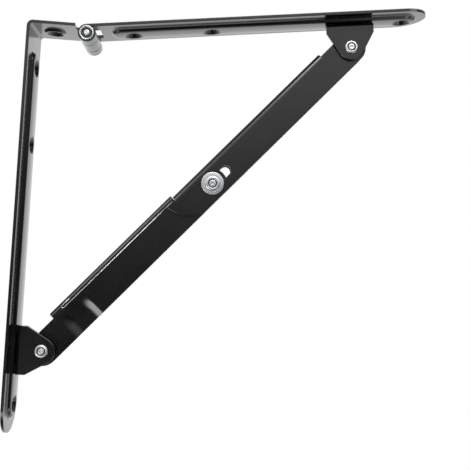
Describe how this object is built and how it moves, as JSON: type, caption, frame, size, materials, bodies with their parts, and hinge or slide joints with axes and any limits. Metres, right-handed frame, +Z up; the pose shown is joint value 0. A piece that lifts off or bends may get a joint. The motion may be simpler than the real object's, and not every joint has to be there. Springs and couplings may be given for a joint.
{
  "type": "drop leaf table bracket",
  "caption": "Folding leaf bracket: a wall plate and a shelf plate joined by a rolled hinge, braced by two nesting channel arms with a slotted centre rivet.",
  "frame": {"origin": "on the wall plate's flat back face at mid-width, a little below the lip", "axes": "+X away from the wall, +Y along the hinge axis across the plate's width, +Z up along the wall plate towards the lip"},
  "size_m": [0.2011, 0.0284, 0.227],
  "materials": {
    "black_paint": "satin black",
    "zinc": "zinc plated"
  },
  "bodies": {
    "wall": {"wall_plate": "black_paint", "lower_clevis": "black_paint", "lower_pivot_rivet": "zinc", "lower_pivot_spacers": "zinc"},
    "lower_arm": {"lower_arm": "black_paint"},
    "slot_rivet": {"centre_rivet": "zinc", "centre_washers": "zinc"},
    "upper_arm": {"upper_arm": "black_paint"},
    "shelf": {"shelf_plate": "black_paint", "upper_clevis": "black_paint", "upper_pivot_rivets": "zinc", "hinge_pin": "zinc"}
  },
  "joints": [
    {"name": "lower_pivot", "type": "hinge", "parent": "wall", "child": "lower_arm", "pos_m": [0.0162, 0, -0.1538], "axis": [0, -1, 0], "range_deg": [0, 41.78]},
    {"name": "centre_pivot", "type": "hinge", "parent": "lower_arm", "child": "slot_rivet", "pos_m": [0.09589, 0, -0.06462], "axis": [0, 1, 0], "range_deg": [0, 179.26]},
    {"name": "slot_slide", "type": "slide", "parent": "slot_rivet", "child": "upper_arm", "axis": [-0.6663, 0, -0.7457], "range_m": [0, 0.00591]},
    {"name": "upper_pivot", "type": "hinge", "parent": "upper_arm", "child": "shelf", "pos_m": [0.16232, 0, 0.00972], "axis": [0, -1, 0], "range_deg": [0, 40.18]}
  ],
  "couplings": [
    {"joint": "centre_pivot", "follows": "lower_pivot", "ratio": 4.2888},
    {"joint": "slot_slide", "follows": "lower_pivot", "m_per_rad": 0.0080779},
    {"joint": "upper_pivot", "follows": "lower_pivot", "ratio": 0.96043}
  ]
}
